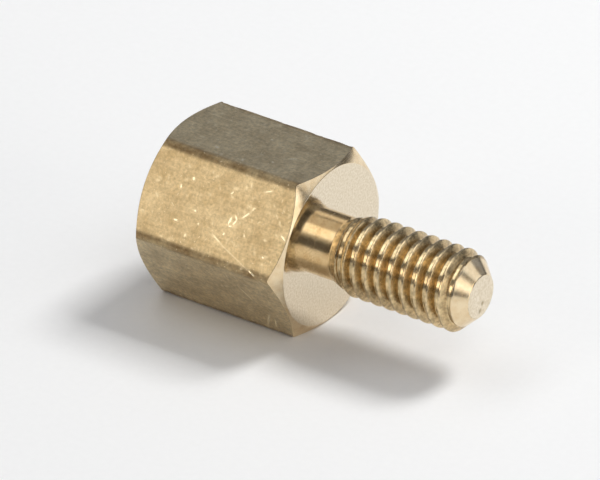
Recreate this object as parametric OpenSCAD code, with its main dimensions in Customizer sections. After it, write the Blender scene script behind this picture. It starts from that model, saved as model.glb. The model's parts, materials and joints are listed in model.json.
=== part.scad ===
// Hexagon-bodied brass screw, turned from one length of drawn hexagon bar.
// It lies on one flat, with its axis along X and its tip towards +X.
// The origin is on the axis, in the plane of the shoulder that seats on the work.

/* [Hexagon body] */
// Width of the hexagon across its flats
hex_across_flats = 9.525; // [8:0.025:14]
// Length of the hexagon, from the rear face to the shoulder
hex_length = 9.7; // [4:0.05:30]
// How far each end face stays inside the middle of a flat
face_inset = 0.12; // [0.05:0.01:0.5]
// Slope of the corner chamfers, measured from the end face
chamfer_angle = 32; // [15:1:45]
// How much of each long corner is worn away, measured along the radius
corner_wear = 0.05; // [0.01:0.01:0.2]

/* [Stud] */
// Length of the stud, from the shoulder to the tip
stud_length = 9.8; // [5:0.05:25]
// Length of the plain neck between the shoulder and the thread
neck_length = 1.1; // [0.3:0.05:3]
// How far the neck lies below the root of the thread
neck_relief = 0.055; // [0.03:0.005:0.3]
// Diameter of the flat at the tip
tip_d = 2.5; // [1:0.02:3.4]
// Slope of the tip's cone, measured from the axis
tip_angle = 45; // [30:1:60]

/* [Thread] */
// Diameter over the crests of the thread
thread_d = 4.65; // [3.6:0.05:7]
// Distance from one crest to the next, along the axis
thread_pitch = 0.794; // [0.5:0.001:1]
// Slope of the lead-in where the thread starts, measured from the axis
lead_in_angle = 20; // [15:1:60]
// Angle between the two flanks of a ridge
flank_angle = 60; // [50:1:62]
// Flat columns in one turn of the thread
thread_sides = 30; // [18:1:36]

/* [Hidden] */
brass = "#c2a468";
round_sides = 96;

// Hexagon body
hex_across_corners = hex_across_flats / cos(30);
land_r = hex_across_corners / 2 - corner_wear;
face_r = hex_across_flats / 2 - face_inset;
chamfer_depth = (land_r - face_r) * tan(chamfer_angle);

// Thread: a ridge with flat crest and root, and straight flanks
thread_r = thread_d / 2;
crest_flat = thread_pitch / 8;
root_flat = thread_pitch / 4;
flank_run = (thread_pitch - crest_flat - root_flat) / 2;
thread_depth = flank_run / tan(flank_angle / 2);
root_r = thread_r - thread_depth;
neck_r = root_r - neck_relief;

// One ridge as [place along the axis, radius], from the start of its crest to the end of its root
ridge = [
    [-crest_flat / 2, thread_r],
    [crest_flat / 2, thread_r],
    [crest_flat / 2 + flank_run, root_r],
    [crest_flat / 2 + flank_run + root_flat, root_r]
];

// The thread blank: what the bar was turned to before the thread was cut
tip_r = tip_d / 2;
blank_r = thread_r + neck_relief;
tip_cone = (blank_r - tip_r) / tan(tip_angle);
lead_in_r = root_r - neck_relief / 2;
lead_in = (blank_r - lead_in_r) / tan(lead_in_angle);

// The helix runs past both ends of the blank, by two turns at each end
spare_turns = 2;
blank_length = stud_length - neck_length;
turns = ceil(blank_length / thread_pitch) + 2 * spare_turns;
corners = len(ridge);
rows = turns * corners;
helix_start = neck_length - spare_turns * thread_pitch;
start_angle = 135;

// A point of the helix: column round the axis, row along it
function helix_point(column, row) =
    let (corner = ridge[row % corners])
    let (turn = floor(row / corners) + column / thread_sides)
    let (angle = start_angle + 360 * column / thread_sides)
    [corner[1] * cos(angle), corner[1] * sin(angle), helix_start + turn * thread_pitch + corner[0]];

// Index of a point, where the column after the last is the first one, a whole turn further on
function index(column, row) =
    column < thread_sides ? column * rows + row : row + corners;

// The closed solid of the core with its right-hand ridge
module helix_core() {
    last = thread_sides - 1;
    top = rows - 1;
    seam = top - corners;
    lower_hub = thread_sides * rows;
    upper_hub = lower_hub + 1;
    side_points = [
        for (column = [0 : last])
            for (row = [0 : top])
                helix_point(column, row)
    ];
    hubs = [
        [0, 0, helix_start - thread_pitch],
        [0, 0, helix_start + (turns + 1) * thread_pitch]
    ];
    side_faces = [
        for (column = [0 : last])
            for (row = [0 : (column < last ? top : seam) - 1])
                for (half = [0, 1])
                    half == 0
                        ? [index(column, row), index(column, row + 1), index(column + 1, row + 1)]
                        : [index(column, row), index(column + 1, row + 1), index(column + 1, row)]
    ];
    lower_faces = [
        for (column = [0 : last])
            [lower_hub, index(column, 0), index(column + 1, 0)]
    ];
    lower_seam = [
        for (row = [0 : corners - 1])
            [lower_hub, index(0, row + 1), index(0, row)]
    ];
    upper_faces = [
        for (column = [0 : last])
            let (row = column < last ? top : seam)
                [upper_hub, index(column + 1, row), index(column, row)]
    ];
    upper_seam = [
        for (row = [seam : top - 1])
            [upper_hub, index(last, row), index(last, row + 1)]
    ];
    polyhedron(
        points = concat(side_points, hubs),
        faces = concat(side_faces, lower_faces, lower_seam, upper_faces, upper_seam)
    );
}

// The turned blank of the thread, with a lead-in at its start and a coned tip
module thread_blank() {
    rotate_extrude($fn = round_sides)
        polygon([
            [0, neck_length],
            [lead_in_r, neck_length],
            [blank_r, neck_length + lead_in],
            [blank_r, stud_length - tip_cone],
            [tip_r, stud_length],
            [0, stud_length]
        ]);
}

// The ends of the bar, coned so that only the corners of the hexagon are cut back
module chamfered_bar() {
    rotate_extrude($fn = round_sides)
        polygon([
            [0, -hex_length],
            [face_r, -hex_length],
            [land_r, chamfer_depth - hex_length],
            [land_r, -chamfer_depth],
            [face_r, 0],
            [0, 0]
        ]);
}

module hexagon_bar() {
    translate([0, 0, -hex_length])
        rotate([0, 0, 30])
            cylinder(h = hex_length, d = hex_across_corners, $fn = 6);
}

// The neck runs on into the body and into the core of the thread
module neck() {
    overlap = min(hex_length, blank_length) / 4;
    translate([0, 0, -overlap])
        cylinder(h = neck_length + 2 * overlap, r = neck_r, $fn = round_sides);
}

module thumbscrew() {
    color(brass)
        rotate([0, 90, 0]) {
            intersection() {
                hexagon_bar();
                chamfered_bar();
            }
            neck();
            intersection() {
                helix_core();
                thread_blank();
            }
        }
}

thumbscrew();
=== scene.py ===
# %% [markdown]
# Hex thumbscrew in turned brass
# The real screw is one piece, turned from a length of drawn hexagon bar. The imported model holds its
# true sizes. This lesson builds one finer mesh over it, with worn corners, a smooth thread and small
# dents, and gives that mesh the finishes that the drawing die, the lathe and the thread die leave on brass.

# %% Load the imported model
import json
import math
import bpy
import numpy as np
from mathutils import Matrix, Vector

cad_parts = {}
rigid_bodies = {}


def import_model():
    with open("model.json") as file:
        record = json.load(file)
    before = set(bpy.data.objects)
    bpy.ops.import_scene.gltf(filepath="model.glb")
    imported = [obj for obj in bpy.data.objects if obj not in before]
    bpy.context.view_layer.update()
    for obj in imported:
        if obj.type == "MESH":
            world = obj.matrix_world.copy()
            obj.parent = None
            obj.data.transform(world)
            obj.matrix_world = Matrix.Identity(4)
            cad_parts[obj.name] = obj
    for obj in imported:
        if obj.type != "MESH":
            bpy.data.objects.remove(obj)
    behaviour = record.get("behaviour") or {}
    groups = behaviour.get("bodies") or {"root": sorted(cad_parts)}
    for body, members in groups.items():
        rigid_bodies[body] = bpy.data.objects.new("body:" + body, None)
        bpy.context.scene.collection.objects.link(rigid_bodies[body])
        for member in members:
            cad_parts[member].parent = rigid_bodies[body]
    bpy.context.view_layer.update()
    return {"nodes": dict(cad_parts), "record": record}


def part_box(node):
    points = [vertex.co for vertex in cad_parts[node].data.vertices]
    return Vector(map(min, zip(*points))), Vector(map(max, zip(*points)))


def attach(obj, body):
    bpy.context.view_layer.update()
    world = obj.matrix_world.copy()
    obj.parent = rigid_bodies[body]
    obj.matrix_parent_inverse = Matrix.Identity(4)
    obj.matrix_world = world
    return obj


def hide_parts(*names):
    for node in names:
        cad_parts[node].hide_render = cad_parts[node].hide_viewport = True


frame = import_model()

print("nodes in the frame:", sorted(frame["nodes"]))

# %% [markdown]
# Sizes
# The screw lies along X with its tip towards +X, and the origin is on its axis at the shoulder. The
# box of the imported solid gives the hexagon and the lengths, and the record gives the thread's radius
# and length. Only the small features that neither of them states are written here, in millimetres.

# %% Sizes of the screw
MM = 0.001
low, high = [np.array(corner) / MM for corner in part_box("thumbscrew")]
hex_length = -low[0]
stud_length = high[0]
corner_r = high[1]
half_flats = high[2]

stud = next(m for m in frame["record"]["mounts"] if m["name"] == "stud_thread")["dims"]
thread_r = stud["r_mm"]
neck_length = stud_length - stud["length_mm"]

face_inset = 0.12
chamfer_angle = math.radians(32)
pitch = 0.794
half_flank_angle = math.radians(30)
neck_relief = 0.055
lead_in_angle = math.radians(20)
tip_r = 1.25
tip_angle = math.radians(45)
print(f"hexagon {2 * half_flats:.3f} x {hex_length:.2f} mm, stud {2 * thread_r:.2f} x {stud_length:.2f} mm")

# %% [markdown]
# A mesh from rings
# A turned part is a stack of rings. Blender's primitives and modifiers could give a cylinder and a
# hexagon, but not a worn corner that runs into a chamfer, or a ridge that climbs round a stud. So the
# points are worked out ring by ring, joined by quads, and each face keeps the number of its finish. Each
# point also carries marks from 0 to 1 that the finishes read: nick, edge and groove.

# %% Helpers that gather points and faces
DRAWN, FACED, TURNED, CUT = range(4)
# The edge mark places the brown painted shade along the corners; the groove mark, how deep a point lies,
# places the thread's painted shade and highlight and the pits' painted shade.
MARKS = ["nick", "edge", "groove"]
points = []
faces = []
face_finish = []
marks = {name: [] for name in MARKS}


def add_points(block, **given):
    """Keeps points in millimetres and returns their numbers, in the same layout."""
    block = np.asarray(block, float)
    layout = block.shape[:-1]
    start = len(points)
    points.extend(block.reshape(-1, 3))
    for name in MARKS:
        marks[name].extend(np.broadcast_to(given.get(name, 0.0), layout).ravel())
    return np.arange(start, len(points)).reshape(layout)


def add_faces(corners, finish):
    """Keeps faces, given as one array of point numbers for each corner, and their finish."""
    made = np.stack(np.broadcast_arrays(*corners), -1)
    faces.extend(made.reshape(-1, len(corners)).tolist())
    face_finish.extend(np.broadcast_to(finish, made.shape[:-1]).ravel())


def join_rings(rings, finish):
    """Joins each closed ring to the next with quads that face outwards."""
    turned = np.roll(rings, -1, axis=1)
    add_faces([rings[:-1], turned[:-1], turned[1:], rings[1:]], finish)


def direction(angle):
    """The unit vector across the axis at an angle, which runs from +Y towards +Z."""
    return np.stack([np.cos(angle), np.sin(angle)], -1)


def place(x, across):
    """Points from a place along the axis and a [y, z] pair."""
    x = np.broadcast_to(np.asarray(x, float)[..., None], across.shape[:-1] + (1,))
    return np.concatenate([x, across], -1)


# %% [markdown]
# The hexagon's section
# Drawn bar has flat sides and long corners that wear round with handling. A bevel could round the
# corners of a plain hexagon, but the flats also need columns close enough to hold small dents. So each
# flat gets evenly spaced columns, and each corner a short arc whose radius makes the worn corner as wide
# as the imported solid. A brown tint reaches a little way from each corner: painted shade that stands
# in for the dark reflection along the lower corner.

# %% Columns round the hexagon
FLATS = 6
FLAT_STEPS = 56
CORNER_STEPS = 8
CORNER_SHADE_REACH = 0.13
half_side = math.pi / FLATS
sharp_r = half_flats / math.cos(half_side)
corner_round = (sharp_r - corner_r) / (1 / math.cos(half_side) - 1)
flat_half = (half_flats - corner_round) * math.tan(half_side)


def flat_facing(flat):
    """The angle that a flat faces."""
    return math.radians(30 + 60 * flat)


# Each column: its point, its normal, its flat, its place across that flat, and how much it is a corner
columns = []
for flat in range(FLATS):
    facing = flat_facing(flat)
    out = direction(facing)
    aside = direction(facing + math.pi / 2)
    for s in np.linspace(-flat_half, flat_half, FLAT_STEPS + 1):
        columns.append((half_flats * out + s * aside, out, flat, s, 0.0))
    arc_centre = (half_flats - corner_round) / math.cos(half_side) * direction(facing + half_side)
    for turn in np.arange(1, CORNER_STEPS) / CORNER_STEPS:
        normal = direction(facing + turn * 2 * half_side)
        s = flat_half + turn * 2 * corner_round
        columns.append((arc_centre + corner_round * normal, normal, flat, s, math.sin(turn * math.pi)))

section, section_normal, column_flat, column_s, column_corner = (np.array(part) for part in zip(*columns))
# Painted shade: how much brown tint each column takes, strongest at the corners, standing in for the dark
# reflection along the lower corner.
corner_shade_mark = np.exp(-(np.maximum(flat_half - np.abs(column_s), 0) / CORNER_SHADE_REACH) ** 2)
section_r = np.linalg.norm(section, axis=1)
section_out = section / section_r[:, None]
print(f"{len(section)} columns, corners rounded to {corner_round:.2f} mm")

# %% [markdown]
# Ends of the bar
# The lathe faces each end and chamfers the corners with one cone, which leaves a circle on the face and
# a curve on each flat. A boolean cut with a cone would give the same curve, but with ragged faces. In the
# plane of one column the end is only a line along the flat, a sloping line and a line down the face, so
# it is drawn column by column. A small curve is laid in each angle, because a real edge is never sharp.

# %% Profile of one end, for all the columns at once
EDGE_BLEND = 0.022
RIM_BLEND = 0.03
BLEND_STEPS = 5
face_r = half_flats - face_inset
chamfer_depth = np.maximum(section_r - face_r, 0) * math.tan(chamfer_angle)


def blend(corner, before, after, reach):
    """A curve that rounds a corner between two directions, from reach before it to reach after it."""
    before = before / np.linalg.norm(before, axis=-1, keepdims=True)
    after = after / np.linalg.norm(after, axis=-1, keepdims=True)
    t = np.linspace(0, 1, BLEND_STEPS)[:, None, None]
    start = corner + reach * before
    end = corner + reach * after
    return (1 - t) ** 2 * start + 2 * t * (1 - t) * corner + t ** 2 * end


shoulder_edge = np.stack([-chamfer_depth, section_r], -1)
face_rim = np.stack([np.zeros_like(section_r), np.full_like(section_r, face_r)], -1)
along_side = np.broadcast_to([-1.0, 0.0], face_rim.shape)
down_face = np.broadcast_to([0.0, -1.0], face_rim.shape)
side_blend = blend(shoulder_edge, along_side, face_rim - shoulder_edge, EDGE_BLEND)
rim_blend = blend(face_rim, shoulder_edge - face_rim, down_face, RIM_BLEND)
print(f"chamfers {chamfer_depth.min():.2f} to {chamfer_depth.max():.2f} mm deep")

# %% [markdown]
# Nicks and dents
# Small brass parts are tumbled and shipped loose, so their flats are covered in short bright nicks. Bump
# alone would give them a gleam but no shape, so they are pressed into the mesh. Those that stand out on
# the real screw have places of their own: a hook-shaped dent, a slash beside it, a long scratch and some
# marks near the shoulder. The rest are drawn at random, always from the same seed.

# %% Places of the nicks that stand out
TOP, FRONT, LOWER = 1, 2, 3
placed_nicks = [
    # flat, x, place across the flat, angle in degrees, half length, half width, depth
    (FRONT, -3.82, 0.27, -78, 0.28, 0.075, 0.010),
    (FRONT, -3.50, 0.27, -61, 0.22, 0.055, 0.009),
    (FRONT, -3.50, 0.00, 48, 0.17, 0.055, 0.009),
    (FRONT, -3.71, 0.54, -21, 0.14, 0.050, 0.008),
    (FRONT, -2.95, -0.30, -48, 0.33, 0.055, 0.008),
    (FRONT, -2.63, -0.75, -55, 0.15, 0.050, 0.006),
    (FRONT, -3.22, 1.93, 22.6, 2.04, 0.035, 0.003),
    (FRONT, -4.28, 1.43, 26.8, 0.38, 0.045, 0.006),
    (FRONT, -1.59, 2.59, 27.5, 0.26, 0.050, 0.008),
    (FRONT, -0.33, 0.21, 31, 0.24, 0.060, 0.010),
    (FRONT, -2.04, -1.93, -23, 0.28, 0.050, 0.006),
    (FRONT, -6.75, -1.26, 60, 0.12, 0.100, 0.007),
    (FRONT, -7.38, -0.65, 75, 0.13, 0.055, 0.008),
    (FRONT, -4.20, -1.21, -50, 0.14, 0.050, 0.007),
    (FRONT, -6.06, 0.37, 5, 0.09, 0.075, 0.009),
    (FRONT, -7.07, 1.19, -9, 0.16, 0.060, 0.009),
    (FRONT, -5.65, 0.99, -41, 0.07, 0.060, 0.007),
    (FRONT, -6.24, 1.82, -72, 0.13, 0.055, 0.006),
    (FRONT, -3.95, 1.05, -48, 0.09, 0.065, 0.008),
    (FRONT, -2.69, 0.79, 70, 0.10, 0.050, 0.006),
    (FRONT, -1.19, 1.57, 20, 0.09, 0.055, 0.008),
    (TOP, -6.46, 1.73, 15, 0.16, 0.07, 0.012),
    (TOP, -4.52, 2.10, 60, 0.12, 0.06, 0.010),
    (TOP, -4.49, -0.71, 30, 0.09, 0.05, 0.010),
    (TOP, -2.36, 0.41, -40, 0.22, 0.05, 0.010),
    (TOP, -3.04, 1.35, 20, 0.09, 0.05, 0.010),
    (LOWER, -1.80, 1.67, -69, 0.74, 0.05, 0.010),
    (LOWER, -1.35, 1.77, -78, 0.44, 0.05, 0.010),
    (LOWER, -2.60, -0.45, 60, 0.60, 0.04, 0.007),
]

# %% Places of the loose nicks
SEED = 11
LOOSE_NICKS = 70
NICK_MARGIN = 0.3
NICK_HALF_LENGTHS = (0.05, 0.07)
NICK_STRETCHES = [1, 1.5, 2.5]
NICK_HALF_WIDTHS = (0.04, 0.06)
NICK_DEPTHS = (0.002, 0.008)
draw = np.random.default_rng(SEED)
loose_nicks = [
    (
        flat,
        draw.uniform(NICK_MARGIN - hex_length, -NICK_MARGIN),
        draw.uniform(-flat_half, flat_half),
        draw.uniform(0, 180),
        draw.uniform(*NICK_HALF_LENGTHS) * draw.choice(NICK_STRETCHES),
        draw.uniform(*NICK_HALF_WIDTHS),
        draw.uniform(*NICK_DEPTHS),
    )
    for flat in range(FLATS)
    for _ in range(LOOSE_NICKS)
]
print(f"{len(placed_nicks)} placed nicks and {len(loose_nicks)} loose ones")

# %% Press the nicks in
FRESH_DEPTH = 0.010


def press_nicks(x):
    """How deep each point lies under its flat, and how fresh its metal is, from 0 to 1."""
    depth = np.zeros_like(x)
    fresh = np.zeros_like(x)
    for flat, nick_x, nick_s, angle, half_length, half_width, deep in placed_nicks + loose_nicks:
        turn = math.radians(angle)
        dx = x - nick_x
        ds = column_s - nick_s
        along = (dx * math.cos(turn) + ds * math.sin(turn)) / half_length
        across = (ds * math.cos(turn) - dx * math.sin(turn)) / half_width
        dent = np.exp(-along ** 4 - across ** 2) * (column_flat == flat)
        depth = np.maximum(depth, deep * dent)
        fresh = np.maximum(fresh, dent * min(1.0, deep / FRESH_DEPTH))
    return depth, fresh


# %% Wear the corners
EVEN_WEAR = 0.006
SHORT_WAVE = 1.7
LONG_WAVE = 0.9
WAVE_SHIFT = 2.1
KNOCKS = 7
KNOCK_REACHES = (0.1, 0.35)
KNOCK_DEPTHS = (0.01, 0.035)


def corner_wear(x):
    """How far handling has worn each long corner back, beyond its even rounding."""
    wear = np.zeros_like(x)
    for flat in range(FLATS):
        waves = np.sin(SHORT_WAVE * x + WAVE_SHIFT * flat) * np.sin(LONG_WAVE * x + flat)
        knocks = np.zeros_like(x)
        for _ in range(KNOCKS):
            knock_x = draw.uniform(-hex_length, 0)
            reach = draw.uniform(*KNOCK_REACHES)
            deep = draw.uniform(*KNOCK_DEPTHS)
            knocks = np.maximum(knocks, deep * np.exp(-((x - knock_x) / reach) ** 2))
        wear += (EVEN_WEAR * (1 + waves) + knocks) * (column_flat == flat)
    return wear * column_corner


# %% [markdown]
# The hexagon body
# Rows run from the middle of the rear face, over its chamfer, along the flats and over the front chamfer
# to the shoulder. The rear end is hidden where the screw was seen, so it is the front end turned round.
# The flats take the nicks along their own normals, and the corners take their wear. In the middle of each
# small curve the finish changes, as it does where two cuts meet.

# %% Rows of the body
SIDE_ROWS = 100
FACE_RINGS = [1.5, 3.0, 4.2]


def end_rows(profile):
    """Rows of points of the front end, from [x, radius] for each row and column."""
    return place(profile[..., 0], profile[..., 1:] * section_out)


def rear_rows(profile):
    """The same rows turned round to the rear end, in the order from the face to the side."""
    turned = profile[::-1] * [-1, 1] - [hex_length, 0]
    return end_rows(turned)


share = (np.arange(SIDE_ROWS) + 0.5)[:, None] / SIDE_ROWS
side_end = side_blend[0, :, 0]
side_start = -hex_length - side_end
side_x = side_start + share * (side_end - side_start)
dent, fresh = press_nicks(side_x)
wear = corner_wear(side_x)
side = place(side_x, section - (dent + wear)[..., None] * section_normal)
print(f"deepest dent {dent.max():.3f} mm, deepest wear {wear.max():.3f} mm")

# %% Build the body
rear_hub = add_points([[-hex_length, 0, 0]])
rear_face = add_points([place(-hex_length, r * section_out) for r in FACE_RINGS])
rear_rim = add_points(rear_rows(rim_blend))
rear_edge = add_points(rear_rows(side_blend), edge=corner_shade_mark)
flats = add_points(side, nick=fresh, edge=corner_shade_mark)
front_edge = add_points(end_rows(side_blend), edge=corner_shade_mark)
front_rim = add_points(end_rows(rim_blend))
front_face = add_points([place(0, r * section_out) for r in FACE_RINGS[:0:-1]])

half_blend = BLEND_STEPS // 2
add_faces([rear_hub[0], np.roll(rear_face[0], -1), rear_face[0]], FACED)
join_rings(np.concatenate([rear_face, rear_rim[:half_blend + 1]]), FACED)
join_rings(np.concatenate([rear_rim[half_blend:], rear_edge[:half_blend + 1]]), TURNED)
join_rings(np.concatenate([rear_edge[half_blend:], flats, front_edge[:half_blend + 1]]), DRAWN)
join_rings(np.concatenate([front_edge[half_blend:], front_rim[:half_blend + 1]]), TURNED)
join_rings(np.concatenate([front_rim[half_blend:], front_face]), FACED)
print(f"body: {len(points)} points")

# %% [markdown]
# The thread's ridge
# A screw thread is one ridge that climbs round the stud. Blender's screw modifier could sweep it, but it
# could not fade the ridge out in the neck and on the tip. Here the rows follow the ridge, so a few rows
# in each turn give clean crests, and each row ends one pitch further along than it began. Crests and
# roots are rounded a little, as a die leaves them. The blank, with its neck, its lead-in and its coned
# tip, cuts the ridge off where it is lower.

# %% Profile of the ridge and of the blank
SOFT = 0.02
crest_flat = pitch / 8
root_flat = pitch / 4
flank_run = (pitch - crest_flat - root_flat) / 2
thread_depth = flank_run / math.tan(half_flank_angle)
root_r = thread_r - thread_depth
neck_r = root_r - neck_relief


def lower_of(a, b, soft=SOFT):
    """The lower of two curves, with the meeting rounded."""
    h = np.clip(0.5 + 0.5 * (b - a) / soft, 0, 1)
    return b * (1 - h) + a * h - soft * h * (1 - h)


def higher_of(a, b, soft=SOFT):
    """The higher of two curves, with the meeting rounded."""
    return -lower_of(-a, -b, soft)


def ridge_r(offset):
    """Radius of the ridge at a distance along the axis from the middle of its crest."""
    off_crest = np.abs(offset - pitch * np.round(offset / pitch))
    flank = thread_r + (crest_flat / 2 - off_crest) / math.tan(half_flank_angle)
    return higher_of(lower_of(flank, thread_r), root_r)


def blank_r(x):
    """Radius of the turned blank along the axis: neck, lead-in and tip cone."""
    lead_in = root_r - neck_relief / 2 + (x - neck_length) * math.tan(lead_in_angle)
    tip_cone = tip_r + (stud_length - x) * math.tan(tip_angle)
    return lower_of(higher_of(lead_in, neck_r, SOFT / 2), tip_cone)


# %% Rows of one turn, closer together where the ridge bends
CREST_EDGE_ROWS = [0.034, 0.042, 0.05, 0.058, 0.066]
FLANK_ROWS = [0.09, 0.15, 0.22]
ROOT_EDGE_ROWS = [0.272, 0.286, 0.297, 0.308, 0.32, 0.36]
down_rows = CREST_EDGE_ROWS + FLANK_ROWS + ROOT_EDGE_ROWS
up_rows = [pitch - offset for offset in down_rows[::-1]]
row_offsets = np.array([0] + down_rows + [pitch / 2] + up_rows)
ridge_rows = len(row_offsets)
print(f"ridge {thread_depth:.2f} mm high, {ridge_rows} rows a turn, neck {2 * neck_r:.2f} mm")

# %% [markdown]
# The threaded stud
# The rows start inside the plain neck, where the blank hides the ridge, and run on past the tip's rim
# and over the tip's flat, where they close on one middle point. The tip keeps two small pits, left where
# the bar was parted off. Rows that follow the ridge have no seam, but each one ends where the row of the
# next turn begins, so the first and the last turn are closed by fans of triangles.

# %% Rows of the stud
STUD_COLUMNS = 120
START_TURN = 1 / 8
TIP_SOFT = 0.04
HUB_R = 0.12
PIT_PLACES = [(-0.05, -0.86), (0.18, -0.47)]
PIT_R = 0.14
PIT_DEPTH = 0.02

# The crest passes +Y an eighth of a pitch before the thread starts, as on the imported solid
first_crest = neck_length - START_TURN * pitch
stud_angle = np.arange(STUD_COLUMNS) * 2 * math.pi / STUD_COLUMNS
row_reach = stud_length + tip_r - HUB_R
turns = int((row_reach - first_crest) / pitch)
row_start = np.concatenate([first_crest + turn * pitch + row_offsets for turn in range(-1, turns)])
row_start = row_start[row_start <= row_reach - pitch]
along = row_start[:, None] + pitch * np.arange(STUD_COLUMNS) / STUD_COLUMNS

stud_r = lower_of(ridge_r(row_start - first_crest)[:, None], blank_r(along))
stud_x = lower_of(along, stud_length, TIP_SOFT)
across = stud_r[..., None] * direction(stud_angle)
# The groove mark, how deep a point lies, later picks the thread's painted shade and highlight.
groove = np.clip((thread_r - stud_r) / thread_depth, 0, 1) * (along < stud_length)
for pit in PIT_PLACES:
    off_pit = np.linalg.norm(across - pit, axis=-1) / PIT_R
    hollow = np.exp(-off_pit ** 4) * (along > stud_length)
    stud_x = stud_x - PIT_DEPTH * hollow
    # The pits go into the groove mark too, which paints them darker as painted shade.
    groove = np.maximum(groove, hollow)
stud_rows = add_points(place(stud_x, across), groove=groove)
print(f"stud: {len(stud_rows)} rows of {STUD_COLUMNS} points")

# %% Finish of the stud's faces, by their place along the axis
# The cone counts as turned from where the ridge has nearly run out on it
cone_start = stud_length - (thread_r - root_r / 2 - tip_r / 2) / math.tan(tip_angle)
face_x = (along[:-1] + along[1:]) / 2
stud_finish = np.select(
    [face_x < neck_length, face_x < cone_start, face_x < stud_length],
    [TURNED, CUT, TURNED],
    FACED,
)
print(f"thread cut from {neck_length:.2f} to {cone_start:.2f} mm")

# %% Join the stud's rows
# A row's last point is followed by the first point of the same row one turn on, where there is one
crossing = np.concatenate([stud_rows, np.full((len(stud_rows), 1), -1)], axis=1)
crossing[:-ridge_rows, -1] = stud_rows[ridge_rows:, 0]
whole = len(stud_rows) - ridge_rows - 1
lower = crossing[:-1]
upper = crossing[1:]
add_faces([lower[:, :-2], lower[:, 1:-1], upper[:, 1:-1], upper[:, :-2]], stud_finish[:, :-1])
add_faces(
    [lower[:whole, -2], lower[:whole, -1], upper[:whole, -1], upper[:whole, -2]],
    stud_finish[:whole, -1],
)

tip_hub = add_points([[stud_length, 0, 0]])
last_row = stud_rows[-1]
last_turn = stud_rows[-1 - ridge_rows:, -1]
add_faces([last_row[:-1], last_row[1:], tip_hub[0]], FACED)
add_faces([last_row[-1:], last_row[:1], tip_hub[0]], FACED)
add_faces([last_turn[:-1], last_row[0], last_turn[1:]], FACED)
print(f"body and stud: {len(points)} points")

# %% [markdown]
# Shoulder and neck
# The neck meets the shoulder in a tiny tool radius, with a ring close to each side of it so that the
# shading stays flat beyond it. The hexagon has many more columns than the stud. A boolean union could
# join the two, but would scatter slivers over the shoulder, so they are joined on its flat, where extra
# corners don't show: the two rings are walked round together, and each triangle goes to the ring that
# is behind.

# %% Join the neck to the stud
ROOT_ROUND = 0.008
ROUND_STEPS = 6
SHOULDER_JOIN_R = 2.6
turn = np.linspace(0, math.pi / 2, ROUND_STEPS)[:, None]
fillet_x = ROOT_ROUND * (1 - np.cos(turn))
fillet_r = neck_r + ROOT_ROUND * (1 - np.sin(turn))
neck_profile = np.concatenate([
    [[0, SHOULDER_JOIN_R], [0, neck_r + 2 * ROOT_ROUND]],
    np.concatenate([fillet_x, fillet_r], axis=1),
    [[2 * ROOT_ROUND, neck_r]],
])
neck_rings = add_points([place(x, r * direction(stud_angle)) for x, r in neck_profile])
join_rings(neck_rings[:3], FACED)
join_rings(neck_rings[2:], TURNED)

neck_end = neck_rings[-1]
first_row = stud_rows[0]
first_turn = stud_rows[:ridge_rows + 1, 0]
add_faces([neck_end[:-1], neck_end[1:], first_row[1:], first_row[:-1]], TURNED)
add_faces([neck_end[-1:], neck_end[:1], first_row[:1]], TURNED)
add_faces([neck_end[-1], first_turn[:-1], first_turn[1:]], TURNED)
add_faces([neck_end[-1:], first_turn[-1:], first_row[-1:]], TURNED)
print(f"neck: {len(neck_rings)} rings")

# %% Join the neck to the shoulder
outer_angle = np.arctan2(section[:, 1], section[:, 0]) % (2 * math.pi)
order = np.argsort(outer_angle)
outer = front_face[-1][order]
outer_angle = np.append(outer_angle[order], outer_angle[order][0] + 2 * math.pi)
inner = neck_rings[0]
inner_angle = np.append(stud_angle, 2 * math.pi)
i = 0
j = 0
while i < len(outer) or j < len(inner):
    outer_now = outer[i % len(outer)]
    inner_now = inner[j % len(inner)]
    if j == len(inner) or (i < len(outer) and outer_angle[i + 1] <= inner_angle[j + 1]):
        add_faces([[outer_now], [outer[(i + 1) % len(outer)]], [inner_now]], FACED)
        i += 1
    else:
        add_faces([[outer_now], [inner[(j + 1) % len(inner)]], [inner_now]], FACED)
        j += 1
print(f"screw: {len(points)} points, {len(faces)} faces")

# %% [markdown]
# One object
# The real screw is one piece of metal, so all its faces go into one closed mesh. Separate meshes for the
# body and the stud would be simpler, but would leave an open seam at the shoulder. The mesh is attached
# to the part's only body, and the imported solid is hidden.

# %% Make the mesh
mesh = bpy.data.meshes.new("thumbscrew_brass")
mesh.from_pydata([tuple(p) for p in np.array(points) * MM], [], faces)
mesh.polygons.foreach_set("material_index", face_finish)
mesh.polygons.foreach_set("use_smooth", [True] * len(faces))
for name in MARKS:
    mark_values = np.array(marks[name], np.float32)
    mesh.attributes.new(name, "FLOAT", "POINT").data.foreach_set("value", mark_values)
mesh.update()
print("mesh needs mending:", mesh.validate(), "triangles:", sum(len(f) - 2 for f in faces))

screw = bpy.data.objects.new("thumbscrew_brass", mesh)
bpy.context.scene.collection.objects.link(screw)
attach(screw, "root")
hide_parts("thumbscrew")

# %% [markdown]
# Tools for the finishes
# Colours are written as the sRGB hex values that a picture editor shows, and one function turns them
# into the linear values that the shader needs. One small function adds a node, sets it up and links it.
# On a Mix node the sockets 6 and 7 are its colours, and 2 and 3 its plain numbers. All patterns are
# measured in millimetres on the object itself, so they stay put when it moves.


# %% Colour and node helpers
def linear(code):
    """An sRGB hex colour as linear red, green, blue and alpha."""
    parts = [int(code[i:i + 2], 16) / 255 for i in (1, 3, 5)]
    return [c / 12.92 if c <= 0.04045 else ((c + 0.055) / 1.055) ** 2.4 for c in parts] + [1.0]


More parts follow.
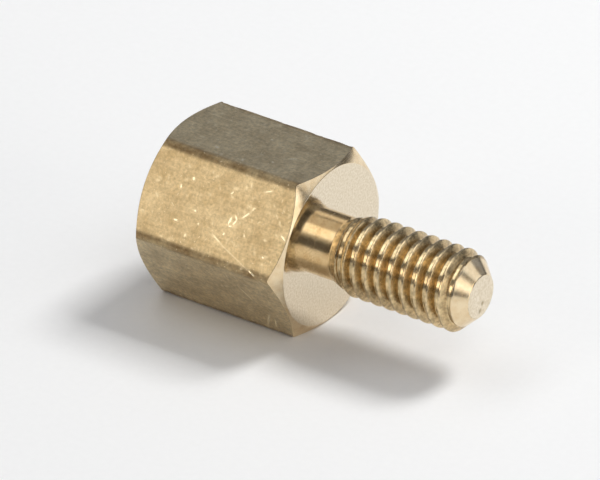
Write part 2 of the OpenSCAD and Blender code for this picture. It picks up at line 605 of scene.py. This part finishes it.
def add_node(tree, kind, inputs, stops=(), **settings):
    """Adds a node; inputs maps a socket's name or number to a value, or to the socket that feeds it."""
    made = tree.nodes.new("ShaderNode" + kind)
    for name, value in settings.items():
        setattr(made, name, value)
    for socket, value in inputs.items():
        if isinstance(value, bpy.types.NodeSocket):
            tree.links.new(value, made.inputs[socket])
        else:
            made.inputs[socket].default_value = value
    for number, (position, colour) in enumerate(stops):
        ramp = made.color_ramp.elements
        if 0 < number < len(stops) - 1:
            stop = ramp.new(position)
        else:
            stop = ramp[-1 if number else 0]
        stop.position = position
        stop.color = linear(colour)
    return made


def start_brass(name):
    """A new metal material, its shader, and the place on the object in millimetres."""
    material = bpy.data.materials.new(name)
    material.use_nodes = True
    tree = material.node_tree
    shader = tree.nodes["Principled BSDF"]
    shader.inputs["Metallic"].default_value = 1.0
    where = add_node(tree, "TexCoord", {})
    millimetres = add_node(
        tree, "VectorMath", {0: where.outputs["Object"], "Scale": 1 / MM}, operation="SCALE"
    )
    screw.data.materials.append(material)
    return tree, shader, millimetres.outputs[0]


# %% [markdown]
# Drawn brass: the flats
# The bar is pulled through a die, which leaves faint lines along it, and air and handling then dull it to
# an uneven olive gold. The brown near the corners is painted shade, standing in for the dark reflection
# along the lower corner. Inside a nick the metal is fresh, paler and smoother. A photograph of such bar
# could be laid on as a texture, but would repeat and carry its own light, so three noises give the
# mottling, the grain and the drawing lines. Real grain and lines are a few hundredths of a millimetre
# wide, and are drawn coarser so that they show. A little sheen stands for the dull film.

# %% Drawn brass: mottling, grain and drawing lines
MOTTLE_MM = 1.3
GRAIN_MM = 0.18
LINE_MM = 0.14
LINE_SQUEEZE = 0.06
LINE_SHARE = 0.35

tree, shader, where = start_brass("brass_drawn_dulled")
mottle = add_node(
    tree, "TexNoise", {"Vector": where, "Scale": 1 / MOTTLE_MM, "Detail": 5.0, "Roughness": 0.72}
)
grain = add_node(
    tree, "TexNoise", {"Vector": where, "Scale": 1 / GRAIN_MM, "Detail": 3.0, "Roughness": 0.65}
)
stretched = add_node(tree, "VectorMath", {0: where, 1: (LINE_SQUEEZE, 1.0, 1.0)}, operation="MULTIPLY")
lines = add_node(tree, "TexNoise", {"Vector": stretched.outputs[0], "Scale": 1 / LINE_MM, "Detail": 2.0})
faint_lines = add_node(tree, "Math", {0: lines.outputs["Fac"], 1: LINE_SHARE}, operation="MULTIPLY")
shade = add_node(tree, "Math", {0: grain.outputs["Fac"], 1: faint_lines.outputs[0]}, operation="ADD")
print(f"drawn brass: mottling {MOTTLE_MM} mm, grain {GRAIN_MM} mm, lines {LINE_MM} mm")

# %% [markdown]
# Nicks in the finish
# Many nicks are too small for the mesh. A cell pattern draws them: in each cell lies a rod that points
# its own way, and the flat cuts through it. The placed nicks are drawn here again, because the mesh alone
# would leave their ends blurred: each one is an ellipsoid laid in the flat.

# %% Drawn brass: small nicks
CELL_MM = 0.42
ROD_HALF_LENGTH = 0.16
ROD_HALF_WIDTH = 0.035
ROD_CORE_LENGTH = 0.6 * ROD_HALF_LENGTH
ROD_CORE_WIDTH = 0.4 * ROD_HALF_WIDTH
ROD_FRESHNESS = 0.6

cell = add_node(tree, "TexVoronoi", {"Vector": where, "Scale": 1 / CELL_MM})
from_cell = add_node(tree, "VectorMath", {0: where, 1: cell.outputs["Position"]}, operation="SUBTRACT")
swing = add_node(tree, "VectorMath", {0: cell.outputs["Color"], 1: (0.5, 0.5, 0.5)}, operation="SUBTRACT")
rod = add_node(tree, "VectorMath", {0: swing.outputs[0]}, operation="NORMALIZE")
rod_place = add_node(
    tree, "VectorMath", {0: from_cell.outputs[0], 1: rod.outputs[0]}, operation="DOT_PRODUCT"
)
rod_point = add_node(
    tree, "VectorMath", {0: rod.outputs[0], "Scale": rod_place.outputs["Value"]}, operation="SCALE"
)
off_rod = add_node(
    tree, "VectorMath", {0: from_cell.outputs[0], 1: rod_point.outputs[0]}, operation="DISTANCE"
)
rod_side = add_node(
    tree,
    "MapRange",
    {"Value": off_rod.outputs["Value"], "From Min": ROD_HALF_WIDTH, "From Max": ROD_CORE_WIDTH},
)
rod_reach = add_node(tree, "Math", {0: rod_place.outputs["Value"]}, operation="ABSOLUTE")
rod_end = add_node(
    tree,
    "MapRange",
    {
        "Value": rod_reach.outputs[0],
        "From Min": ROD_HALF_LENGTH,
        "From Max": ROD_CORE_LENGTH,
        "To Max": ROD_FRESHNESS,
    },
)
small_nick = add_node(tree, "Math", {0: rod_side.outputs[0], 1: rod_end.outputs[0]}, operation="MULTIPLY")
print(f"small nicks up to {2 * ROD_HALF_LENGTH:.2f} mm long, one in each cell of {CELL_MM} mm")

# %% Drawn brass: placed nicks
MARK_DEPTH = 0.008
MARK_CORE = 0.7
MARK_EDGE = 1.1
MARK_THICKNESS = 0.2

pressed = add_node(tree, "Attribute", {}, attribute_name="nick")
nick = add_node(tree, "Math", {0: small_nick.outputs[0], 1: pressed.outputs["Fac"]}, operation="MAXIMUM")
for flat, nick_x, nick_s, angle, half_length, half_width, deep in placed_nicks:
    facing = flat_facing(flat)
    out = Vector((0, *direction(facing)))
    aside = Vector((0, *direction(facing + math.pi / 2)))
    turn = math.radians(angle)
    lengthways = Vector((math.cos(turn), 0, 0)) + aside * math.sin(turn)
    axes = Matrix((lengthways, out.cross(lengthways), out)).transposed()
    local = add_node(
        tree,
        "Mapping",
        {
            "Vector": where,
            "Location": Vector((nick_x, 0, 0)) + out * half_flats + aside * nick_s,
            "Rotation": axes.to_euler(),
            "Scale": (half_length, half_width, MARK_THICKNESS),
        },
        vector_type="TEXTURE",
    )
    off_nick = add_node(tree, "VectorMath", {0: local.outputs[0]}, operation="LENGTH")
    mark = add_node(
        tree,
        "MapRange",
        {
            "Value": off_nick.outputs["Value"],
            "From Min": MARK_EDGE,
            "From Max": MARK_CORE,
            "To Max": min(1, deep / MARK_DEPTH),
        },
    )
    nick = add_node(tree, "Math", {0: nick.outputs[0], 1: mark.outputs[0]}, operation="MAXIMUM")
print(f"{len(placed_nicks)} nicks drawn again in the finish")

# %% Drawn brass: colour
dulled = add_node(
    tree, "ValToRGB", {"Fac": mottle.outputs["Fac"]}, stops=[(0.36, "#c8b184"), (0.64, "#e4cfa2")]
)
# Painted shade: a dark brown is mixed in near the corners, patchy with the mottling, standing in for the
# dark reflection along the lower corner.
corner = add_node(tree, "Attribute", {}, attribute_name="edge")
patchy = add_node(
    tree,
    "MapRange",
    {"Value": mottle.outputs["Fac"], "From Min": 0.3, "From Max": 0.6, "To Min": 0.75, "To Max": 0.3},
)
painted_corner_shade = add_node(tree, "Math", {0: corner.outputs["Fac"], 1: patchy.outputs[0]}, operation="MULTIPLY")
corner_shaded = add_node(
    tree, "Mix", {0: painted_corner_shade.outputs[0], 6: dulled.outputs["Color"], 7: linear("#86663c")}, data_type="RGBA"
)
shade_range = add_node(
    tree,
    "MapRange",
    {"Value": shade.outputs[0], "From Min": 0.4, "From Max": 0.95, "To Min": 0.64, "To Max": 1.22},
)
grained = add_node(
    tree, "VectorMath", {0: corner_shaded.outputs[2], "Scale": shade_range.outputs[0]}, operation="SCALE"
)
coloured = add_node(
    tree, "Mix", {0: nick.outputs[0], 6: grained.outputs[0], 7: linear("#faeac2")}, data_type="RGBA"
)
tree.links.new(coloured.outputs[2], shader.inputs["Base Color"])

# %% Drawn brass: gloss and relief
CORNER_DULLING = 0.25
FRESH_ROUGHNESS = 0.27
DRAWN_RELIEF_MM = 0.006

rough = add_node(tree, "MapRange", {"Value": grain.outputs["Fac"], "To Min": 0.32, "To Max": 0.42})
worn = add_node(
    tree,
    "Math",
    {0: corner.outputs["Fac"], 1: CORNER_DULLING, 2: rough.outputs[0]},
    operation="MULTIPLY_ADD",
)
fresh_rough = add_node(tree, "Mix", {0: nick.outputs[0], 2: worn.outputs[0], 3: FRESH_ROUGHNESS})
tree.links.new(fresh_rough.outputs[0], shader.inputs["Roughness"])
shader.inputs["Sheen Weight"].default_value = 0.20
shader.inputs["Sheen Roughness"].default_value = 0.5
relief = add_node(tree, "Math", {0: shade.outputs[0], 1: nick.outputs[0]}, operation="SUBTRACT")
bump = add_node(
    tree, "Bump", {"Height": relief.outputs[0], "Strength": 0.6, "Distance": DRAWN_RELIEF_MM * MM}
)
tree.links.new(bump.outputs[0], shader.inputs["Normal"])
print(f"drawn brass: {len(tree.nodes)} nodes")

# %% [markdown]
# Faced brass: the end faces and the tip's flat
# A facing cut runs the tool across a spinning end and leaves rings so fine that the face is nearly a
# mirror, with a soft grain. It is the palest brass on the screw. An anisotropic shader could hint at the
# rings, but would streak the reflections, so a noise that only knows the radius draws them. The real rings
# are about a hundredth of a millimetre apart, so they are drawn ten times as coarse and very shallow, and
# the grain likewise. The tip's pits are painted a little darker, as painted shade in the hollows.

# %% Faced brass
RING_MM = 0.11
FACE_GRAIN_MM = 0.12
FACED_RELIEF_MM = 0.001

tree, shader, where = start_brass("brass_faced_bright")
flat_place = add_node(tree, "VectorMath", {0: where, 1: (0.0, 1.0, 1.0)}, operation="MULTIPLY")
radius = add_node(tree, "VectorMath", {0: flat_place.outputs[0]}, operation="LENGTH")
rings = add_node(
    tree,
    "TexNoise",
    {"W": radius.outputs["Value"], "Scale": 1 / RING_MM, "Detail": 2.0},
    noise_dimensions="1D",
)
grain = add_node(tree, "TexNoise", {"Vector": where, "Scale": 1 / FACE_GRAIN_MM, "Detail": 3.0})
tone = add_node(tree, "Math", {0: rings.outputs["Fac"], 1: grain.outputs["Fac"]}, operation="ADD")
pale = add_node(
    tree, "ValToRGB", {"Fac": grain.outputs["Fac"]}, stops=[(0.36, "#dfcfb2"), (0.64, "#f2e5cf")]
)
# Painted shade: the pits, read from the groove mark, are coloured darker, as shade in the hollows.
pit_mark = add_node(tree, "Attribute", {}, attribute_name="groove")
pits_painted_shade = add_node(
    tree,
    "Mix",
    {0: pit_mark.outputs["Fac"], 6: pale.outputs["Color"], 7: linear("#b3a283")},
    data_type="RGBA",
)
tree.links.new(pits_painted_shade.outputs[2], shader.inputs["Base Color"])
rough = add_node(
    tree, "MapRange", {"Value": tone.outputs[0], "From Max": 2.0, "To Min": 0.07, "To Max": 0.15}
)
tree.links.new(rough.outputs[0], shader.inputs["Roughness"])
bump = add_node(
    tree, "Bump", {"Height": tone.outputs[0], "Strength": 0.3, "Distance": FACED_RELIEF_MM * MM}
)
tree.links.new(bump.outputs[0], shader.inputs["Normal"])
print(f"faced brass: {len(tree.nodes)} nodes")

# %% [markdown]
# Turned brass: chamfers, neck and tip cone
# These are cut along the axis, so their tool marks are rings too, now seen from the side. The cut is
# clean and glossy and keeps the full yellow of brass. Modelled grooves would need far too many faces, so
# a noise squeezed across the axis draws the rings in gloss and bump. Real ones are about half as wide.

# %% Turned brass
TOOL_MM = 0.09
TOOL_SQUEEZE = 0.06
STAIN_MM = 0.6
TURNED_RELIEF_MM = 0.002

tree, shader, where = start_brass("brass_turned_glossy")
stretched = add_node(
    tree, "VectorMath", {0: where, 1: (1.0, TOOL_SQUEEZE, TOOL_SQUEEZE)}, operation="MULTIPLY"
)
rings = add_node(tree, "TexNoise", {"Vector": stretched.outputs[0], "Scale": 1 / TOOL_MM, "Detail": 2.0})
stain = add_node(tree, "TexNoise", {"Vector": where, "Scale": 1 / STAIN_MM, "Detail": 3.0})
gold = add_node(
    tree, "ValToRGB", {"Fac": stain.outputs["Fac"]}, stops=[(0.35, "#e4caa0"), (0.65, "#f1ddb9")]
)
tree.links.new(gold.outputs["Color"], shader.inputs["Base Color"])
rough = add_node(tree, "MapRange", {"Value": rings.outputs["Fac"], "To Min": 0.14, "To Max": 0.26})
tree.links.new(rough.outputs[0], shader.inputs["Roughness"])
bump = add_node(
    tree, "Bump", {"Height": rings.outputs["Fac"], "Strength": 0.35, "Distance": TURNED_RELIEF_MM * MM}
)
tree.links.new(bump.outputs[0], shader.inputs["Normal"])
print(f"turned brass: {len(tree.nodes)} nodes")

# %% [markdown]
# Cut brass: the thread
# The die tears the metal a little, so the flanks are rougher than the neck, with oil and dust in patches.
# The crests and the roots are rubbed smooth by the die. One even gold would make the thread look cast, so
# the groove mark on the mesh, which says how deep a point lies, picks the colour and the gloss: the flanks
# are painted darker as painted shade, and the crests and roots paler as painted highlight. Real tears are
# about half as wide as they are drawn.

# %% Cut brass
TEAR_MM = 0.08
TEAR_SQUEEZE = 0.2
OIL_MM = 0.25
FLANK_DULLING = 0.35
CUT_RELIEF_MM = 0.005

tree, shader, where = start_brass("brass_thread_cut")
stretched = add_node(
    tree, "VectorMath", {0: where, 1: (1.0, TEAR_SQUEEZE, TEAR_SQUEEZE)}, operation="MULTIPLY"
)
tears = add_node(tree, "TexNoise", {"Vector": stretched.outputs[0], "Scale": 1 / TEAR_MM, "Detail": 3.0})
oil = add_node(tree, "TexNoise", {"Vector": where, "Scale": 1 / OIL_MM, "Detail": 3.0})
depth_mark = add_node(tree, "Attribute", {}, attribute_name="groove")
# Painted shade and highlight by depth: the flanks darker, the crests and roots paler.
gold = add_node(
    tree,
    "ValToRGB",
    {"Fac": depth_mark.outputs["Fac"]},
    stops=[(0.03, "#d9c299"), (0.14, "#d0b88d"), (0.80, "#c4a97d"), (0.97, "#d8c094")],
)
dirt = add_node(
    tree,
    "MapRange",
    {"Value": oil.outputs["Fac"], "From Min": 0.35, "From Max": 0.65, "To Min": 0.66, "To Max": 1.18},
)
oil_and_painted_depth_shade = add_node(
    tree, "VectorMath", {0: gold.outputs["Color"], "Scale": dirt.outputs[0]}, operation="SCALE"
)
tree.links.new(oil_and_painted_depth_shade.outputs[0], shader.inputs["Base Color"])
rough = add_node(tree, "MapRange", {"Value": tears.outputs["Fac"], "To Min": 0.13, "To Max": 0.25})
off_root = add_node(tree, "Math", {0: 1.0, 1: depth_mark.outputs["Fac"]}, operation="SUBTRACT")
flank = add_node(tree, "Math", {0: depth_mark.outputs["Fac"], 1: off_root.outputs[0]}, operation="MULTIPLY")
torn = add_node(
    tree, "Math", {0: flank.outputs[0], 1: FLANK_DULLING, 2: rough.outputs[0]}, operation="MULTIPLY_ADD"
)
tree.links.new(torn.outputs[0], shader.inputs["Roughness"])
bump = add_node(
    tree, "Bump", {"Height": tears.outputs["Fac"], "Strength": 0.7, "Distance": CUT_RELIEF_MM * MM}
)
tree.links.new(bump.outputs[0], shader.inputs["Normal"])
print("finishes:", [m.name for m in screw.data.materials])

# %% [markdown]
# Floor
# The screw lies on one flat on a matt white board. A plane would do, but a disc fills the picture from
# any side with the same far edge. Paper fibres give the white a faint unevenness, drawn coarser than they
# are, which keeps the shadow from looking drawn.

# %% Floor
FLOOR_R = 1.5
FLOOR_SIDES = 64
floor_angles = np.linspace(0, 2 * math.pi, FLOOR_SIDES, endpoint=False)
floor_mesh = bpy.data.meshes.new("board")
floor_mesh.from_pydata(
    [(FLOOR_R * math.cos(a), FLOOR_R * math.sin(a), 0) for a in floor_angles], [], [range(FLOOR_SIDES)]
)
floor = bpy.data.objects.new("board", floor_mesh)
floor.location.z = low[2] * MM
bpy.context.scene.collection.objects.link(floor)
print(f"board {2 * FLOOR_R} m across, {-low[2]:.2f} mm under the axis")

# %% Matt white board
FIBRE_MM = 0.4

board = bpy.data.materials.new("board_matt_white")
board.use_nodes = True
tree = board.node_tree
shader = tree.nodes["Principled BSDF"]
shader.inputs["Roughness"].default_value = 0.9
shader.inputs["Specular IOR Level"].default_value = 0.1
where = add_node(tree, "TexCoord", {})
fibre = add_node(
    tree, "TexNoise", {"Vector": where.outputs["Object"], "Scale": 1 / (FIBRE_MM * MM), "Detail": 3.0}
)
white = add_node(
    tree, "ValToRGB", {"Fac": fibre.outputs["Fac"]}, stops=[(0.0, "#f2f2f1"), (1.0, "#f6f6f5")]
)
tree.links.new(white.outputs["Color"], shader.inputs["Base Color"])
floor_mesh.materials.append(board)

# %% [markdown]
# Light
# Metal shows its surroundings. A picture of a room could light it, but would have to be read from disk,
# so the lamps are soft boxes placed where the real screw's bright bands ask for them. A box over the rear
# lights the thread's crests and one over the tip gives the neck its gold band, each with a brighter core.
# One to the right lights the chamfers and the tip, and one low in front, with a small bright core, the
# middle flat and the thread's roots. A fill behind the tip lights its cone, and a wide, dim box at the
# back the top flat. The room stays dim, which keeps the rest dark. A compact lamp high at the back lifts
# the board to white and lays the shadow in front; reflections leave it out, so the metal shows the lit
# board and not a hard spot. A box's power follows from the brightness that its surface should have.


# %% Soft boxes
def soft_box(name, towards, width, length, radiance, along=(0, 1, 0), colour="#ffffff", distance=0.5):
    """A rectangular lamp that faces the screw, with the brightness of its surface given."""
    lamp = bpy.data.lights.new(name, "AREA")
    lamp.shape = "RECTANGLE"
    lamp.size = width
    lamp.size_y = length
    lamp.energy = radiance * math.pi * width * length
    lamp.color = linear(colour)[:3]
    away = Vector(towards).normalized()
    side = Vector(along).cross(away).normalized()
    axes = Matrix((side, away.cross(side), away)).transposed().to_4x4()
    made = bpy.data.objects.new(name, lamp)
    made.matrix_world = Matrix.Translation(away * distance) @ axes
    bpy.context.scene.collection.objects.link(made)
    return made


# Name, direction from the screw, width and length in metres, brightness
UP = (0, 0, 1)
soft_box("rear_box_wide", (-0.50, -0.03, 0.86), 0.17, 0.50, 1.45)
soft_box("rear_box_core", (-0.50, -0.16, 0.85), 0.17, 0.22, 0.60)
soft_box("tip_box_wide", (0.50, -0.25, 0.83), 0.17, 0.80, 0.65)
soft_box("tip_box_core", (0.50, -0.40, 0.77), 0.17, 0.26, 1.05)
soft_box("right_box", (0.95, -0.12, 0.28), 0.32, 0.32, 1.45, along=UP, colour="#fffaf3")
soft_box("front_box", (-0.48, -0.78, 0.40), 0.42, 0.32, 0.20, along=UP, colour="#fff4e8")
soft_box("front_core", (-0.48, -0.79, 0.385), 0.15, 0.15, 2.35, along=UP, colour="#fff4e8")
soft_box("tip_fill", (0.69, 0.51, 0.50), 0.30, 0.30, 0.9, along=UP)
soft_box("back_box", (-0.13, 0.82, 0.55), 0.70, 0.45, 0.27, along=UP, colour="#e6eeff")
board_lamp = soft_box("board_lamp", (0.20, 0.55, 0.81), 0.13, 0.16, 24.5)
board_lamp.visible_glossy = False
print("lamps:", len(bpy.data.lights))

# %% Dim room
ROOM_LIGHT = (0.10, 0.105, 0.118, 1)
world = bpy.data.worlds.new("grey_room")
bpy.context.scene.world = world
world.use_nodes = True
world.node_tree.nodes["Background"].inputs["Color"].default_value = ROOM_LIGHT

# %% [markdown]
# Camera
# The picture was taken from in front and above, to the right of the shoulder, with a long lens, so the
# far end looks hardly smaller than the near one. The angles, the scale and the place of the origin in
# the picture were found by laying the screw's edges over the photograph. The camera could be shifted to
# frame the screw, but it is aimed beside it instead, so that views from other sides stay centred.

# %% Camera
PICTURE_WIDTH = 600
PICTURE_HEIGHT = 480
SENSOR_MM = 36
AZIMUTH, ELEVATION, ROLL = (math.radians(a) for a in (33.58, 29.34, 1.27))
PIXELS_PER_MM = 18.32
ORIGIN_PIXEL = (331.1, 244.6)
CAMERA_MM = 625

back = Vector((
    math.sin(AZIMUTH) * math.cos(ELEVATION),
    -math.cos(AZIMUTH) * math.cos(ELEVATION),
    math.sin(ELEVATION),
))
level = Vector((math.cos(AZIMUTH), math.sin(AZIMUTH), 0))
upright = back.cross(level)
right = math.cos(ROLL) * level + math.sin(ROLL) * upright
up = back.cross(right)
target = right * (PICTURE_WIDTH / 2 - ORIGIN_PIXEL[0]) + up * (ORIGIN_PIXEL[1] - PICTURE_HEIGHT / 2)
target = target / PIXELS_PER_MM

lens = bpy.data.cameras.new("camera")
lens.sensor_fit = "HORIZONTAL"
lens.sensor_width = SENSOR_MM
lens.lens = SENSOR_MM * CAMERA_MM * PIXELS_PER_MM / PICTURE_WIDTH
lens.clip_start = 0.01
lens.clip_end = 5
camera = bpy.data.objects.new("camera", lens)
axes = Matrix((right, up, back)).transposed().to_4x4()
camera.matrix_world = Matrix.Translation((target + back * CAMERA_MM) * MM) @ axes
bpy.context.scene.collection.objects.link(camera)
bpy.context.scene.camera = camera
bpy.context.scene.view_settings.view_transform = "Standard"
print(f"lens {lens.lens:.0f} mm at {CAMERA_MM} mm")

# %% [markdown]
# Last step
# The scene is brought up to date.

# %% Bring the scene up to date
bpy.context.view_layer.update()
